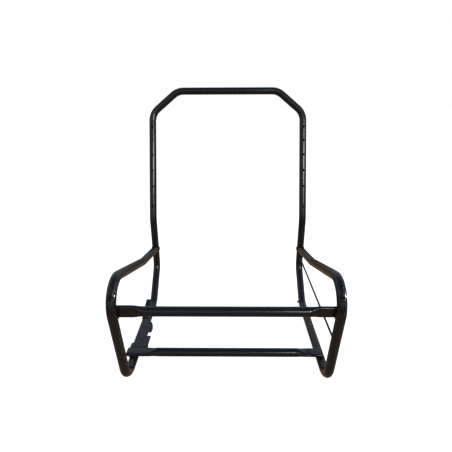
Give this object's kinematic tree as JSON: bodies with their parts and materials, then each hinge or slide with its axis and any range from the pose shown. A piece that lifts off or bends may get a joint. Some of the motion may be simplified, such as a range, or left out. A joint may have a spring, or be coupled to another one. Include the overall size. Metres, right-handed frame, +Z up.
{
  "type": "tubular seat frame",
  "caption": "Bare bent-tube frame of a small vehicle's seat: backrest hoop, side loops, cross tubes, side tie rod and a sprung slide latch on one floor rail.",
  "frame": {"origin": "bottom centre of the bounding box: on the floor under the two rails, in the middle of the frame", "axes": "+Z up along the backrest, +Y to the rear, +X to the side with the tie rod; the sitter faces -Y"},
  "size_m": [0.5149, 0.626, 0.6671],
  "materials": {
    "frame_paint": "gloss",
    "lever_paint": "gloss",
    "weld_paint": "gloss",
    "rod_paint": "satin",
    "black_fastener": "satin",
    "bare_steel": "satin",
    "spring_steel": "satin",
    "insert_paint": "gloss"
  },
  "bodies": {
    "frame": {"backrest_hoop": "frame_paint", "left_side_loop": "frame_paint", "right_side_loop": "frame_paint", "left_rail_spigot": "bare_steel", "right_rail_spigot": "bare_steel", "left_rail_weld": "weld_paint", "right_rail_weld": "weld_paint", "left_seat_weld": "weld_paint", "right_seat_weld": "weld_paint", "front_cross_tube": "frame_paint", "left_front_weld": "weld_paint", "right_front_weld": "weld_paint", "lower_cross_tube": "frame_paint", "left_lower_weld": "weld_paint", "right_lower_weld": "weld_paint", "latch_pivot_bolt": "black_fastener", "latch_pivot_nut": "black_fastener", "latch_washers": "black_fastener", "latch_pivot_sleeve": "bare_steel", "latch_spring_spacer": "bare_steel", "latch_return_spring": "spring_steel", "tie_rod": "rod_paint", "left_leg_insert": "insert_paint", "right_leg_insert": "insert_paint", "stop_stud": "frame_paint"},
    "latch_lever": {"latch_lever": "lever_paint"}
  },
  "joints": [
    {"name": "latch_hinge", "type": "hinge", "parent": "frame", "child": "latch_lever", "pos_m": [-0.2325, -0.1606, 0.011], "axis": [1, 0, 0], "range_deg": [0, 14], "stiffness_Nm_per_rad": 0.8, "springref_deg": -20.05, "deforming": ["latch_return_spring"]}
  ]
}
